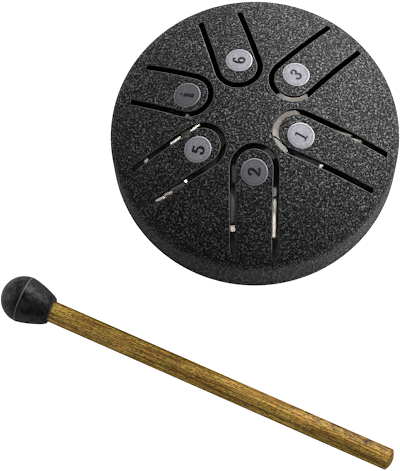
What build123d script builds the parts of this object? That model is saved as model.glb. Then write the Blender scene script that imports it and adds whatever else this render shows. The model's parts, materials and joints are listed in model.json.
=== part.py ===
from build123d import *
from math import acos, asin, atan2, cos, degrees, hypot, radians, sin, sqrt
import os

# Steel tongue drum with its mallet lying in front of it. Millimetres, +Z up, the drum's axis is Z and
# the surface it stands on is Z = 0. The mallet lies on the -Y side.

# Shells
shell_radius = 40.0  # outside of the wall
sheet = 1.0  # steel thickness
dome_radius = 76.0  # outside of the playing face, a part of a sphere
shoulder_radius = 4.0  # outside corner between playing face and wall
top_wall = 10.0  # straight wall from the shoulder down to the seam
bottom_wall = 0.5  # straight wall from the seam down to the bottom corner
base_radius = 24.5  # flat of the base, which a rounded corner joins to the wall
sound_hole_radius = 11.0

# Tongues, in the order of their notes. The lower the note, the longer the tongue.
notes = ["do", "re", "mi", "sol", "la", "high_do"]
tongue_angle = {"do": -21.0, "re": -90.5, "mi": 47.0, "sol": 209.6, "la": 106.4, "high_do": 158.3}
tongue_tip = {"do": 7.2, "re": 9.4, "mi": 10.1, "sol": 11.4, "la": 10.6, "high_do": 14.1}  # from the axis
tongue_margin = {"do": 3.4, "re": 3.3, "mi": 3.4, "sol": 4.8, "la": 5.6, "high_do": 5.4}  # wall to root
root_width = 9.8
tip_width = 10.3
slot_width = 1.5
root_gap = 0.05  # clearance at the root line, where the tongue bends

# Stickers, stuck on by hand: each has its own distance from the free end and from the centreline
sticker_radius = 3.7
sticker_thickness = 0.12
sticker_inset = {"do": 6.4, "re": 6.4, "mi": 7.0, "sol": 6.5, "la": 7.1, "high_do": 5.7}
sticker_side = {"do": -0.6, "re": 0.0, "mi": 0.5, "sol": 0.3, "la": -0.7, "high_do": 0.3}

# Feet
foot_radius = 4.0
foot_height = 2.0
foot_round = 0.6
foot_angle = {"front_right": -45.0, "rear_right": 45.0, "rear_left": 135.0, "front_left": 225.0}

# Mallet
head_radius = 6.65
head_neck = 8.45  # centre of the ball to the mouth
neck_ease = 0.64  # share of a straight cone's angle at which the neck leaves the ball, smaller is fuller
mouth_wall = 0.85  # rubber round the stick at the mouth
head_lip = 0.3
stick_radius = 3.03
stick_length = 112.3
stick_insert = 8.5
stick_round = 2.0  # rounded edge of the butt
socket_clearance = 0.05
mallet_angle = -23.7  # direction from head to butt
mallet_gap = 24.1  # drum wall to the stick's centreline, in plan
mallet_shift = -42.7  # head centre, along the mallet from the point nearest to the drum's axis

# Sizes that follow
bottom_corner = shell_radius - base_radius
corner_height = foot_height + bottom_corner
seam_height = corner_height + bottom_wall
shoulder_height = seam_height + top_wall
shoulder_centre = shell_radius - shoulder_radius
dome_lean = asin(shoulder_centre / (dome_radius - shoulder_radius))  # where dome and shoulder meet
dome_centre = shoulder_height - (dome_radius - shoulder_radius) * cos(dome_lean)
apex_height = dome_centre + dome_radius
cut_height = apex_height + sheet
foot_circle = (sound_hole_radius + base_radius) / 2


def on_arc(centre, radius, angle):
    """Point of a circle in a section, the angle counted from straight up."""
    return (centre[0] + radius * sin(angle), centre[1] + radius * cos(angle))


def tongue_plane(note):
    """Plan plane at the drum's foot, with X out along the tongue."""
    angle = radians(tongue_angle[note])
    return Plane(origin=(0, 0, 0), x_dir=(cos(angle), sin(angle), 0), z_dir=(0, 0, 1))


def root_station(note):
    """Distance from the drum's axis to the tongue's root line."""
    return shell_radius - tongue_margin[note]


def tongue_outline(note, grow, root):
    """Face of one tongue in plan, grown sideways and at the free end, up to a root line."""
    bend = tongue_tip[note] + tip_width / 2
    half_tip = tip_width / 2 + grow
    half_root = root_width / 2 + grow
    with BuildSketch() as outline:
        with BuildLine():
            Line((root, -half_root), (bend, -half_tip))
            ThreePointArc((bend, -half_tip), (bend - half_tip, 0), (bend, half_tip))
            Line((bend, half_tip), (root, half_root))
            Line((root, half_root), (root, -half_root))
        make_face()
    return outline.sketch


# Pressed top shell before its slots are cut: dome, shoulder and wall, turned about the axis
shoulder = (shoulder_centre, shoulder_height)
with BuildPart() as top_blank:
    with BuildSketch(Plane.XZ):
        with BuildLine():
            for skin in (0, sheet):
                dome = dome_radius - skin
                corner = shoulder_radius - skin
                edge = on_arc((0, dome_centre), dome, dome_lean)
                middle = on_arc((0, dome_centre), dome, dome_lean / 2)
                ThreePointArc((0, dome_centre + dome), middle, edge)
                turn = on_arc(shoulder, corner, (dome_lean + radians(90)) / 2)
                ThreePointArc(edge, turn, (shell_radius - skin, shoulder_height))
                Line((shell_radius - skin, shoulder_height), (shell_radius - skin, seam_height))
            Line((shell_radius, seam_height), (shell_radius - sheet, seam_height))
            Line((0, apex_height), (0, apex_height - sheet))
        make_face()
    revolve(axis=Axis.Z)

# Top shell with one window for each tongue, a slot wider than the tongue all round
with BuildPart() as top_shell:
    add(top_blank.part)
    for note in notes:
        with BuildSketch(tongue_plane(note)):
            add(tongue_outline(note, slot_width, root_station(note) + root_gap))
        extrude(amount=cut_height, mode=Mode.SUBTRACT)
top_shell.part.label = "top_shell"

# Bottom shell: a bowl with a flat base and the sound hole, its rim welded to the top shell's
with BuildPart() as bottom_shell:
    with BuildSketch(Plane.XZ):
        with BuildLine():
            for skin in (0, sheet):
                corner = bottom_corner - skin
                base = foot_height + skin
                turn = on_arc((base_radius, corner_height), corner, radians(135))
                Line((shell_radius - skin, seam_height), (shell_radius - skin, corner_height))
                ThreePointArc((shell_radius - skin, corner_height), turn, (base_radius, base))
                Line((base_radius, base), (sound_hole_radius, base))
            Line((shell_radius, seam_height), (shell_radius - sheet, seam_height))
            Line((sound_hole_radius, foot_height), (sound_hole_radius, foot_height + sheet))
        make_face()
    revolve(axis=Axis.Z)
bottom_shell.part.label = "bottom_shell"

# Tongues: the same pressing inside each slot, ending at the root line
tongue_parts = []
for note in notes:
    with BuildPart() as tongue:
        with BuildSketch(tongue_plane(note)):
            add(tongue_outline(note, 0, root_station(note)))
        extrude(amount=cut_height)
        add(top_blank.part, mode=Mode.INTERSECT)
    tongue.part.label = f"tongue_{note}"
    tongue_parts.append(tongue.part)

# Foil stickers, laid on the curve of the dome near each free end
sticker_parts = []
for note in notes:
    station = tongue_tip[note] + sticker_inset[note]
    with BuildPart() as sticker:
        with BuildSketch(tongue_plane(note)):
            with Locations((station, sticker_side[note])):
                Circle(sticker_radius)
        extrude(amount=cut_height)
        with Locations((0, 0, dome_centre)):
            Sphere(dome_radius + sticker_thickness, mode=Mode.INTERSECT)
            Sphere(dome_radius, mode=Mode.SUBTRACT)
    sticker.part.label = f"sticker_{note}"
    sticker_parts.append(sticker.part)

# Rubber feet on the flat of the base, between the sound hole and the corner
foot_parts = []
for place, angle in foot_angle.items():
    middle = (foot_circle * cos(radians(angle)), foot_circle * sin(radians(angle)))
    with BuildPart() as foot:
        with BuildSketch(Plane.XY):
            with Locations(middle):
                Circle(foot_radius)
        extrude(amount=foot_height)
        fillet(foot.edges().sort_by(Axis.Z)[0], radius=foot_round)
    foot.part.label = f"foot_{place}"
    foot_parts.append(foot.part)

# Mallet frame: X runs from the head's centre to the butt. The head is thicker than the stick, so the
# mallet lies tilted, on the ball and on the end of the stick.
rest_station = head_neck - stick_insert + stick_length - stick_round
mallet_tilt = asin(head_radius / hypot(rest_station, stick_radius)) - atan2(stick_radius, rest_station)
mallet_turn = radians(mallet_angle)
mallet_reach = shell_radius + mallet_gap
head_x = mallet_reach * sin(mallet_turn) + mallet_shift * cos(mallet_turn)
head_y = -mallet_reach * cos(mallet_turn) + mallet_shift * sin(mallet_turn)
mallet_plane = Plane(
    origin=(head_x, head_y, head_radius),
    x_dir=(cos(mallet_turn) * cos(mallet_tilt), sin(mallet_turn) * cos(mallet_tilt), -sin(mallet_tilt)),
    z_dir=(sin(mallet_turn), -cos(mallet_turn), 0),
)
mallet_axis = Axis(mallet_plane.origin, mallet_plane.x_dir)

# Mallet head: a rubber ball that eases into a full, slightly curved neck with the mouth at its end, and a
# blind socket for the stick. The neck's curve touches the ball at neck_angle and runs through the mouth.
socket_radius = stick_radius + socket_clearance
socket_floor = head_neck - stick_insert
mouth_radius = socket_radius + mouth_wall
cone_angle = atan2(head_neck, mouth_radius) - acos(head_radius / hypot(head_neck, mouth_radius))
neck_angle = neck_ease * cone_angle
facing = head_neck * sin(neck_angle) + mouth_radius * cos(neck_angle)
neck_radius = hypot(head_neck - head_radius * sin(neck_angle), mouth_radius - head_radius * cos(neck_angle)) ** 2 / (
    2 * (head_radius - facing)
)
neck_centre = on_arc((0, 0), head_radius - neck_radius, neck_angle)
mouth_angle = atan2(head_neck - neck_centre[0], mouth_radius - neck_centre[1])
with BuildPart() as mallet_head:
    with BuildSketch(mallet_plane):
        with BuildLine():
            neck_start = on_arc((0, 0), head_radius, neck_angle)
            neck_middle = on_arc(neck_centre, neck_radius, (neck_angle + mouth_angle) / 2)
            ThreePointArc((-head_radius, 0), on_arc((0, 0), head_radius, radians(-45)), neck_start)
            ThreePointArc(neck_start, neck_middle, (head_neck, mouth_radius))
            Line((head_neck, mouth_radius), (head_neck, socket_radius))
            Line((head_neck, socket_radius), (socket_floor, socket_radius))
            Line((socket_floor, socket_radius), (socket_floor, 0))
            Line((socket_floor, 0), (-head_radius, 0))
        make_face()
    revolve(axis=mallet_axis)
    mouth = mallet_head.edges().filter_by(GeomType.CIRCLE).group_by(mallet_axis)[-1].sort_by(SortBy.RADIUS)
    fillet(mouth[-1], radius=head_lip)
mallet_head.part.label = "mallet_head"

# Mallet stick: a dowel seated on the floor of the socket, with a rounded butt
with BuildPart() as mallet_stick:
    with BuildSketch(mallet_plane):
        with BuildLine():
            butt = socket_floor + stick_length
            Polyline((socket_floor, 0), (socket_floor, stick_radius), (butt, stick_radius), (butt, 0), close=True)
        make_face()
    revolve(axis=mallet_axis)
    fillet(mallet_stick.edges().filter_by(GeomType.CIRCLE).group_by(mallet_axis)[-1], radius=stick_round)
mallet_stick.part.label = "mallet_stick"

os.makedirs("parts", exist_ok=True)
shells = [top_shell.part, bottom_shell.part]
mallet = [mallet_head.part, mallet_stick.part]
for piece in shells + tongue_parts + sticker_parts + foot_parts + mallet:
    export_step(piece, f"parts/{piece.label}.step")

print(f"height {apex_height:.2f}, seam {seam_height:.2f}, dome edge radius {dome_radius * sin(dome_lean):.2f}")
print(f"mallet tilt {degrees(mallet_tilt):.3f}, head at {head_x:.2f}, {head_y:.2f}, mouth radius {mouth_radius:.2f}")
for note in notes:
    station = root_station(note)
    root_height = dome_centre + sqrt((dome_radius - sheet / 2) ** 2 - station**2)
    print(f"tongue {note} root at {station:.2f}, mid sheet height {root_height:.3f}")
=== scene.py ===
import json
import math

import bmesh
import bpy
import numpy as np
from mathutils import Matrix, Vector


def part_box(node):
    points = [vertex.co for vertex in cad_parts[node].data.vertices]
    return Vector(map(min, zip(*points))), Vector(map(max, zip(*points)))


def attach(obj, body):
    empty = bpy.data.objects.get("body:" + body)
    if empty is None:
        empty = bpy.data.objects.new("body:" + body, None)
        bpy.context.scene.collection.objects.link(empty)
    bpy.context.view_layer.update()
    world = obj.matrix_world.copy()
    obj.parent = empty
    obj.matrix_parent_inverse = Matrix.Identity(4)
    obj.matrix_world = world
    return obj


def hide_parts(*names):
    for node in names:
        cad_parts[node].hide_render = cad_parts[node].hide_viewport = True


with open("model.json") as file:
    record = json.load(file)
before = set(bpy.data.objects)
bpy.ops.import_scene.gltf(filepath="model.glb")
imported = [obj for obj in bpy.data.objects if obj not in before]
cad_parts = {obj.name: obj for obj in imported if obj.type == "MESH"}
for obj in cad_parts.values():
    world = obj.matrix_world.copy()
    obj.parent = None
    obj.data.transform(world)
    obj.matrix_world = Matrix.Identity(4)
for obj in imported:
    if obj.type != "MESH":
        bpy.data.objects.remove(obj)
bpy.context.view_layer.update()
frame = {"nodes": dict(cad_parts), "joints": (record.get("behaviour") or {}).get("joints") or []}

mm = 0.001  # shapes are worked out in millimetres and written in metres
mergeWithin = 1.5e-6  # points of a mesh nearer than this, in metres, become one
notes = ["do", "re", "mi", "sol", "la", "high_do"]


def nodePoints(node):
    # vertices of a CAD node as rows of millimetres
    mesh = frame["nodes"][node].data
    flat = np.empty(len(mesh.vertices) * 3, np.float32)
    mesh.vertices.foreach_get("co", flat)
    return flat.reshape(-1, 3).astype(float) / mm


def mix(a, b, share):
    # straight blend from a to b
    return a + (b - a) * share


def arcAbout(centre, radius, start, end, count):
    # points of a circle in a section, angles in degrees counted from straight up towards the outside
    turn = np.radians(np.linspace(start, end, count))
    return np.stack([centre[0] + radius * np.sin(turn), centre[1] + radius * np.cos(turn)], -1)


def runBetween(start, end, count):
    # evenly spaced points from start to end
    return mix(np.asarray(start, float), np.asarray(end, float), np.linspace(0, 1, count)[:, None])


def gridFaces(rows, columns, first):
    # quads between neighbouring rows and columns of a grid whose points are numbered row by row
    corner = first + np.arange(rows - 1)[:, None] * columns + np.arange(columns - 1)[None, :]
    return np.stack([corner, corner + 1, corner + columns + 1, corner + columns], -1).reshape(-1, 4)


def putInScene(name, data):
    # an object at the origin that shows the data
    thing = bpy.data.objects.new(name, data)
    bpy.context.scene.collection.objects.link(thing)
    return thing


def makePiece(name, body, patches, materials, replaces=(), sharpAngle=40.0):
    # One closed mesh from several grids. A patch is (points, material number, uv, wear), the last two may be
    # None; the last is a point attribute that holds real wear and dirt and, on some pieces, painted highlight and
    # painted shade. Points that fall together are merged and all faces are turned outwards.
    points, quads, numbers, coords, wornAndLit = [], [], [], [], []
    first = 0
    for grid, number, uv, wearAndPaintedLight in patches:
        rows, columns = grid.shape[:2]
        faces = gridFaces(rows, columns, first)
        points.append(grid.reshape(-1, 3))
        quads.append(faces)
        numbers.append(np.full(len(faces), number))
        coords.append(np.zeros((rows * columns, 2)) if uv is None else uv.reshape(-1, 2))
        wornAndLit.append(np.zeros(rows * columns) if wearAndPaintedLight is None else wearAndPaintedLight.reshape(-1))
        first += rows * columns
    points = np.vstack(points) * mm
    quads = np.vstack(quads)
    mesh = bpy.data.meshes.new(name)
    mesh.from_pydata(points.tolist(), [], quads.tolist())
    mesh.polygons.foreach_set("material_index", np.concatenate(numbers).astype(np.int32))
    corners = np.empty(len(mesh.loops), np.int32)
    mesh.loops.foreach_get("vertex_index", corners)
    uvLayer = mesh.uv_layers.new(name="surface")
    uvLayer.data.foreach_set("uv", np.vstack(coords)[corners].astype(np.float32).ravel())
    wearAndPaintedLightLayer = mesh.attributes.new("wearAndPaintedLight", "FLOAT", "POINT")
    wearAndPaintedLightLayer.data.foreach_set("value", np.concatenate(wornAndLit).astype(np.float32))
    work = bmesh.new()
    work.from_mesh(mesh)
    bmesh.ops.remove_doubles(work, verts=work.verts, dist=mergeWithin)
    bmesh.ops.recalc_face_normals(work, faces=work.faces)
    work.to_mesh(mesh)
    work.free()
    mesh.shade_smooth()
    mesh.set_sharp_from_angle(angle=math.radians(sharpAngle))
    for material in materials:
        mesh.materials.append(material)
    piece = putInScene(name, mesh)
    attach(piece, body)
    if replaces:
        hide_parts(*replaces)
    return piece


def turnedGrid(profile, origin, axis, side, segments):
    # A profile point (along, out) carried round the axis: origin + along axis + out (cos side + sin other).
    # Its uv is the way round and the way along the profile, both in millimetres.
    axis, side = np.asarray(axis, float), np.asarray(side, float)
    other = np.cross(axis, side)
    turn = np.linspace(0, 2 * np.pi, segments + 1)
    ring = np.cos(turn)[:, None] * side + np.sin(turn)[:, None] * other
    along, out = profile[:, 0], profile[:, 1]
    grid = np.asarray(origin, float) + along[:, None, None] * axis + out[:, None, None] * ring[None]
    walked = np.r_[0, np.cumsum(np.linalg.norm(np.diff(profile, axis=0), axis=1))]
    uv = np.stack(np.broadcast_arrays(turn[None] * out.max(), walked[:, None]), -1)
    return grid, uv


def newLook(name):
    # a material with its node tree and its shader
    look = bpy.data.materials.new(name)
    look.use_nodes = True
    tree = look.node_tree
    return look, tree, tree.nodes["Principled BSDF"]


def addNode(tree, kind, inputs=None, **settings):
    # a node with its settings; each input is a plain value or the socket that feeds it
    node = tree.nodes.new(kind)
    for key, value in settings.items():
        setattr(node, key, value)
    for key, value in (inputs or {}).items():
        if isinstance(value, bpy.types.NodeSocket):
            tree.links.new(value, node.inputs[key])
        else:
            node.inputs[key].default_value = value
    return node


def feed(tree, socket, node, key):
    # joins a socket to one input of a node
    tree.links.new(socket, node.inputs[key])


def remap(tree, value, low, high, toLow=0.0, toHigh=1.0):
    # stretches low..high to toLow..toHigh and holds the ends
    node = addNode(tree, "ShaderNodeMapRange", {"Value": value, "From Min": low, "From Max": high,
                                                 "To Min": toLow, "To Max": toHigh}, clamp=True)
    return node.outputs["Result"]


def mixColours(tree, share, first, second):
    # blend from the first colour to the second, which are inputs 6 and 7 of a Mix node
    return addNode(tree, "ShaderNodeMix", {0: share, 6: first, 7: second}, data_type="RGBA").outputs[2]


def calculate(tree, operation, *values):
    # one step of arithmetic on sockets and numbers
    return addNode(tree, "ShaderNodeMath", dict(enumerate(values)), operation=operation).outputs[0]


def lengthOf(tree, vector):
    # distance of each place from the coordinates' own origin
    return addNode(tree, "ShaderNodeVectorMath", {0: vector}, operation="LENGTH").outputs["Value"]


def drawnOut(tree, vector, scale):
    # coordinates scaled along each axis: a pattern on them is drawn out where the scale is small
    return addNode(tree, "ShaderNodeMapping", {"Vector": vector, "Scale": scale}).outputs["Vector"]


def turnedBack(tree, vector, angles):
    # coordinates turned about the three axes
    return addNode(tree, "ShaderNodeMapping", {"Vector": vector, "Rotation": angles}).outputs["Vector"]


def shifted(tree, colour, value, hue=0.5):
    # the colour made lighter or darker by value, its hue moved where hue isn't a half
    node = addNode(tree, "ShaderNodeHueSaturation", {"Hue": hue, "Value": value, "Color": colour})
    return node.outputs["Color"]


def dimmed(colour, share):
    # the colour with its light cut to that share
    return [channel * share for channel in colour[:3]] + [1]


def ramp(tree, value, stops):
    # colour by value through (place, colour) stops
    node = addNode(tree, "ShaderNodeValToRGB", {"Fac": value})
    elements = node.color_ramp.elements
    while len(elements) < len(stops):
        elements.new(1.0)
    for element, (place, colour) in zip(elements, stops):
        element.position, element.color = place, colour
    return node.outputs["Color"]


def noise(tree, vector, scale, detail=2.0, roughness=0.5, distortion=0.0):
    # cloudy pattern of 0 to 1 with that many lumps to a unit of the vector
    node = addNode(tree, "ShaderNodeTexNoise", {"Vector": vector, "Scale": scale, "Detail": detail,
                                                 "Roughness": roughness, "Distortion": distortion})
    return node.outputs["Fac"]


def objectPlace(tree):
    # place on the piece in metres, which moves with it
    return addNode(tree, "ShaderNodeTexCoord").outputs["Object"]


def wearAndPaintedLightOf(tree):
    # the mesh's own point attribute of wear and painted light, 0 to 1
    return addNode(tree, "ShaderNodeAttribute", attribute_name="wearAndPaintedLight").outputs["Fac"]


def bump(tree, height, depth, normal=None):
    # height 0..1 seen as that many millimetres of relief
    inputs = {"Height": height, "Strength": 1.0, "Distance": depth * mm}
    if normal is not None:
        inputs["Normal"] = normal
    return addNode(tree, "ShaderNodeBump", inputs).outputs["Normal"]


# In the looks below, sizes and depths are millimetres, lumps are counted to the metre, and a range of two or four
# numbers says which part of a noise is used and what it becomes.

paintLook = {
    # tones: grain colour, near black in the pits and pale on the tops, partly painted shade and painted glints; speck:
    # pale specks on the tops, painted glints
    "grainTonesShadeAndGlints": [(0.38, (0.0003, 0.0003, 0.0003, 1)), (0.50, (0.0107, 0.0107, 0.0109, 1)),
              (0.60, (0.078, 0.078, 0.080, 1)), (0.69, (0.27, 0.27, 0.274, 1))],
    # edge: paler colour of the rounded edges, partly rubbed paint and partly painted highlight
    "speck": (0.40, 0.40, 0.405, 1), "edge": (0.22, 0.22, 0.223, 1),
    "grain": 0.50, "grainDepth": 0.25, "fineGrain": 0.34, "fineDepth": 0.05, "patchLumps": 60.0,
    "speckRange": (0.68, 0.72, 0.0, 0.8), "patchRange": (0.3, 0.7, 0.85, 1.15), "paleEdgeRange": (0.35, 0.6, 0.6, 1.0),
    "roughRange": (0.35, 0.7, 0.75, 0.36), "gloss": 0.35,
}


def texturedPaint():
    # baked-on black paint with a sandy wrinkle: two sizes of grain, coloured from near black in the pits to pale on
    # the tops, which is partly painted shade in the pits and painted glints on the tops; pale specks on the tops, which
    # are painted glints; paler on the rounded edges where the point attribute says, partly rubbed paint and partly
    # painted highlight
    p = paintLook
    look, tree, shader = newLook("textured_black_paint")
    place = objectPlace(tree)
    grain = noise(tree, place, 1 / (p["grain"] * mm), 1.0, 0.5, 0.6)
    fine = noise(tree, place, 1 / (p["fineGrain"] * mm), 1.0, 0.5)
    patch = noise(tree, place, p["patchLumps"], 3.0, 0.55)
    # pale specks on the grain's tops: painted glints
    tone = mixColours(tree, remap(tree, fine, *p["speckRange"]), ramp(tree, grain, p["grainTonesShadeAndGlints"]), p["speck"])
    tone = shifted(tree, tone, remap(tree, patch, *p["patchRange"]))
    # rounded edges turn paler where the point attribute says: partly rubbed paint, partly painted highlight
    rubbedAndLitEdge = calculate(tree, "MULTIPLY", wearAndPaintedLightOf(tree), remap(tree, patch, *p["paleEdgeRange"]))
    feed(tree, mixColours(tree, rubbedAndLitEdge, tone, p["edge"]), shader, "Base Color")
    shader.inputs["Specular IOR Level"].default_value = p["gloss"]
    feed(tree, remap(tree, grain, *p["roughRange"]), shader, "Roughness")
    coarse = bump(tree, grain, p["grainDepth"])
    feed(tree, bump(tree, fine, p["fineDepth"], coarse), shader, "Normal")
    return look


steelLook = {
    "dull": (0.10, 0.095, 0.09, 1), "bright": (0.19, 0.183, 0.175, 1), "rust": (0.11, 0.085, 0.06, 1),
    "cloudLumps": 110.0, "stainLumps": 45.0, "scratchLumps": 900.0, "scratchDepth": 0.001,
    "cloudRange": (0.35, 0.65), "stainRange": (0.6, 0.75, 0.0, 0.5), "roughRange": (0.3, 0.7, 0.6, 0.38),
}


def bareSteel():
    # unpainted inside of the pressed sheet: bright metal with clouded dull places and faint stains
    p = steelLook
    look, tree, shader = newLook("bare_pressed_steel")
    place = objectPlace(tree)
    cloud = noise(tree, place, p["cloudLumps"], 4.0, 0.6)
    stain = noise(tree, place, p["stainLumps"], 5.0, 0.65, 0.4)
    tone = mixColours(tree, remap(tree, cloud, *p["cloudRange"]), p["dull"], p["bright"])
    tone = mixColours(tree, remap(tree, stain, *p["stainRange"]), tone, p["rust"])
    feed(tree, tone, shader, "Base Color")
    shader.inputs["Metallic"].default_value = 1.0
    feed(tree, remap(tree, cloud, *p["roughRange"]), shader, "Roughness")
    feed(tree, bump(tree, noise(tree, place, p["scratchLumps"]), p["scratchDepth"]), shader, "Normal")
    return look


foilLook = {
    # rim: brighter colour of the sticker's rim, a painted highlight
    "low": (0.28, 0.275, 0.30, 1), "high": (0.44, 0.43, 0.47, 1), "rim": (0.64, 0.63, 0.67, 1), "metal": 0.85,
    "line": 0.16, "lineDraw": 0.35, "lineDepth": 0.004, "speck": 0.42, "ring": 3.12, "ringWidth": 0.22,
    "smearLumps": 0.45,  # to the millimetre, as its uv is
    "lineRange": (0.3, 0.7), "smearRange": (0.5, 0.75, 0.0, 0.35), "speckRange": (0.46, 0.66, 0.0, 0.85),
    "speckShade": 0.7, "ringShade": 0.55, "ringShare": 0.55, "roughRange": (0.3, 0.7, 0.66, 0.78),
    # per sticker, a brighter or darker copy of the foil: painted light for how the light falls on each
    "paintedLight": {"do": 1.52, "re": 0.90, "mi": 1.19, "sol": 1.62, "la": 1.42, "high_do": 0.70},
}


def stickerFoil(note):
    # silver foil brushed one way: noise drawn out along the sticker's own uv, small specks, a dark ring near the
    # edge that is painted shade of a pressed groove and a brighter rim that is a painted highlight; each sticker's copy
    # is made brighter or darker, painted light for how the light falls on it
    p = foilLook
    look, tree, shader = newLook("brushed_silver_foil_" + note)
    paintedLight = p["paintedLight"][note]
    # each sticker's colours scaled by its painted light
    low, high, rim = dimmed(p["low"], paintedLight), dimmed(p["high"], paintedLight), dimmed(p["rim"], paintedLight**0.4)
    uv = addNode(tree, "ShaderNodeUVMap", uv_map="surface").outputs["UV"]
    line = noise(tree, drawnOut(tree, uv, (p["lineDraw"], 1 / p["line"], 1.0)), 1.0, 3.0, 0.6)
    smear = noise(tree, uv, p["smearLumps"], 3.0, 0.6)
    speck = noise(tree, uv, 1 / p["speck"], 3.0, 0.6)
    offRing = calculate(tree, "ABSOLUTE", calculate(tree, "SUBTRACT", lengthOf(tree, uv), p["ring"]))
    tone = mixColours(tree, remap(tree, line, *p["lineRange"]), low, high)
    tone = mixColours(tree, remap(tree, smear, *p["smearRange"]), tone, low)
    tone = mixColours(tree, remap(tree, speck, *p["speckRange"]), tone, dimmed(low, p["speckShade"]))
    # dark ring near the edge: painted shade of a pressed groove
    paintedRingShade = remap(tree, offRing, 0.0, p["ringWidth"], p["ringShare"], 0.0)
    tone = mixColours(tree, paintedRingShade, tone, dimmed(low, p["ringShade"]))
    # brighter rim where the point attribute says: painted highlight
    feed(tree, mixColours(tree, wearAndPaintedLightOf(tree), tone, rim), shader, "Base Color")
    shader.inputs["Metallic"].default_value = p["metal"]
    feed(tree, remap(tree, smear, *p["roughRange"]), shader, "Roughness")
    feed(tree, bump(tree, line, p["lineDepth"]), shader, "Normal")
    return look


inkLook = {
    "solid": (0.02, 0.019, 0.023, 1), "thin": (0.08, 0.077, 0.088, 1), "gloss": 0.22,
    "blotchLumps": 3200.0, "blotchDepth": 0.003, "thinRange": (0.45, 0.75), "roughRange": (0.3, 0.7, 0.35, 0.55),
}


def printedInk():
    # dark print that thins out in small blotches
    p = inkLook
    look, tree, shader = newLook("printed_ink")
    blotch = noise(tree, objectPlace(tree), p["blotchLumps"])
    feed(tree, mixColours(tree, remap(tree, blotch, *p["thinRange"]), p["solid"], p["thin"]), shader, "Base Color")
    feed(tree, remap(tree, blotch, *p["roughRange"]), shader, "Roughness")
    shader.inputs["Specular IOR Level"].default_value = p["gloss"]
    feed(tree, bump(tree, blotch, p["blotchDepth"]), shader, "Normal")
    return look


rubberLook = {
    "low": (0.002, 0.002, 0.0022, 1), "high": (0.055, 0.053, 0.053, 1), "dust": (0.10, 0.097, 0.09, 1),
    "ridge": (0.26, 0.255, 0.25, 1), "gloss": 0.29, "sheen": 0.2, "sheenRough": 0.3,
    "cloudLumps": 480.0, "cloudDepth": 0.2, "poreLumps": 1900.0, "poreDepth": 0.03,
    "cloudRange": (0.42, 0.64), "dustRange": (0.6, 0.75), "roughRange": (0.3, 0.7, 0.5, 0.27),
}


def mouldedRubber(name, dustiness):
    # black moulded rubber: soft clouding, fine pores and a little dust in the low places
    p = rubberLook
    look, tree, shader = newLook(name)
    place = objectPlace(tree)
    cloud = noise(tree, place, p["cloudLumps"], 5.0, 0.66, 0.5)
    pores = noise(tree, place, p["poreLumps"])
    tone = mixColours(tree, remap(tree, cloud, *p["cloudRange"]), p["low"], p["high"])
    tone = mixColours(tree, remap(tree, pores, *p["dustRange"], 0.0, dustiness), tone, p["dust"])
    feed(tree, mixColours(tree, wearAndPaintedLightOf(tree), tone, p["ridge"]), shader, "Base Color")
    feed(tree, remap(tree, cloud, *p["roughRange"]), shader, "Roughness")
    shader.inputs["Specular IOR Level"].default_value = p["gloss"]
    shader.inputs["Sheen Weight"].default_value = p["sheen"]
    shader.inputs["Sheen Roughness"].default_value = p["sheenRough"]
    uneven = bump(tree, cloud, p["cloudDepth"])
    feed(tree, bump(tree, pores, p["poreDepth"], uneven), shader, "Normal")
    return look


woodLook = {
    "pale": (0.88, 0.535, 0.10, 1), "mid": (0.37, 0.19, 0.027, 1), "brown": (0.15, 0.072, 0.009, 1),
    "dark": (0.06, 0.026, 0.006, 1), "gloss": 0.3, "fibre": 0.36, "fibreDepth": 0.06, "streak": 1.1, "stretch": 0.025,
    "dash": 0.34, "dashStretch": 0.42, "smudge": 1.0, "smudgeStretch": 0.4, "blotchLumps": 110.0, "tintLumps": 420.0,
    "fibreRange": (0.42, 0.54), "streakRange": (0.52, 0.66, 0.0, 0.6), "dashRange": (0.50, 0.60, 0.0, 0.8),
    "smudgeRange": (0.38, 0.62, 0.45, 1.15), "blotchRange": (0.3, 0.7, 0.85, 1.15),
    "tintRange": (0.35, 0.65, 0.490, 0.512), "roughRange": (0.3, 0.65, 0.75, 0.55),
}


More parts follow.
